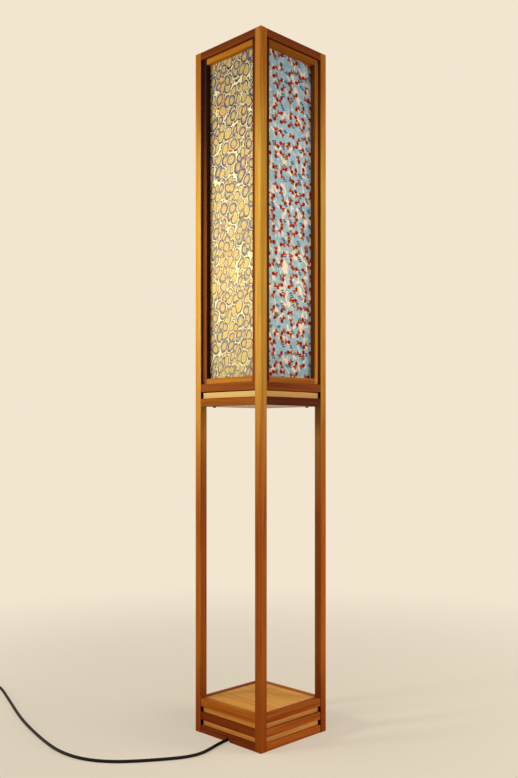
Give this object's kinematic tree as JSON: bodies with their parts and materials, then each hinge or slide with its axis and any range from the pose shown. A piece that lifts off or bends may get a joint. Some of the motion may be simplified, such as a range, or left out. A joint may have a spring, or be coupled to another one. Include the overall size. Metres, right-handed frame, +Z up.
{
  "type": "andon floor lamp",
  "caption": "Tall square andon floor lamp: a wooden post-and-rail tower with papered panels above an open niche, with a lit bulb inside, a boarded base and a mains cord with an in-line switch.",
  "frame": {"origin": "centre of the base, on the floor", "axes": "+Z up; -Y is the side where the cord leaves (marbled paper), +X is a side with goldfish paper"},
  "size_m": [1.0638, 0.4957, 1.5],
  "materials": {
    "post_wood": "oiled, straight grain",
    "rail_wood": "oiled, a little redder and darker",
    "board_wood": "oiled board",
    "shelf_plywood": "pale plywood edge",
    "cover_board": "thin pale hardboard, smooth",
    "black_screws": "black",
    "strip_wood": "light planed strips",
    "marbled_paper": "marbled sheet, translucent",
    "goldfish_paper": "printed sheet, translucent",
    "stem_metal": "black enamel",
    "plated_screws": "zinc plated",
    "holder_plastic": "white heat-resistant plastic",
    "cap_metal": "bare",
    "bulb_glass": "opal white",
    "cord_jacket": "soft black jacket",
    "clip_plastic": "black",
    "grip_rubber": "black",
    "switch_plastic": "black, fine grain",
    "rocker_plastic": "black, smooth",
    "tie_fabric": "woven touch tape",
    "plug_plastic": "black",
    "blade_metal": "bare"
  },
  "bodies": {
    "lamp": {"post_south_east": "post_wood", "post_north_east": "post_wood", "post_north_west": "post_wood", "post_south_west": "post_wood", "base_bottom_rail_south": "rail_wood", "base_bottom_rail_east": "rail_wood", "base_bottom_rail_north": "rail_wood", "base_bottom_rail_west": "rail_wood", "base_middle_rail_south": "rail_wood", "base_middle_rail_east": "rail_wood", "base_middle_rail_north": "rail_wood", "base_middle_rail_west": "rail_wood", "base_top_rail_south": "rail_wood", "base_top_rail_east": "rail_wood", "base_top_rail_north": "rail_wood", "base_top_rail_west": "rail_wood", "shelf_rail_south": "rail_wood", "shelf_rail_east": "rail_wood", "shelf_rail_north": "rail_wood", "shelf_rail_west": "rail_wood", "shade_bottom_rail_south": "rail_wood", "shade_bottom_rail_east": "rail_wood", "shade_bottom_rail_north": "rail_wood", "shade_bottom_rail_west": "rail_wood", "top_rail_south": "rail_wood", "top_rail_east": "rail_wood", "top_rail_north": "rail_wood", "top_rail_west": "rail_wood", "base_lower_board": "board_wood", "base_upper_board": "board_wood", "base_floor_board": "board_wood", "shelf_board": "shelf_plywood", "under_cover": "cover_board", "cover_screws": "black_screws", "panel_frame_south": "strip_wood", "panel_frame_east": "strip_wood", "panel_frame_north": "strip_wood", "panel_frame_west": "strip_wood", "panel_paper_south": "marbled_paper", "panel_paper_north": "marbled_paper", "panel_paper_east": "goldfish_paper", "panel_paper_west": "goldfish_paper", "lamp_stem": "stem_metal", "flange_screws": "plated_screws", "lamp_holder": "holder_plastic", "bulb_cap": "cap_metal", "bulb_glass": "bulb_glass", "inner_lead": "cord_jacket", "lead_clips": "clip_plastic", "cord_grip": "grip_rubber", "supply_cord": "cord_jacket", "switch_case": "switch_plastic", "switch_cord": "cord_jacket", "cord_coil": "cord_jacket", "coil_tie": "tie_fabric", "plug_cord": "cord_jacket", "plug_body": "plug_plastic", "plug_blades": "blade_metal"},
    "rocker": {"switch_rocker": "rocker_plastic"}
  },
  "joints": [
    {"name": "switch_rocker_tilt", "type": "hinge", "parent": "lamp", "child": "rocker", "pos_m": [-0.84495, -0.25974, 0.0122], "axis": [0.2924, -0.9563, 0], "range_deg": [0, 16]}
  ]
}
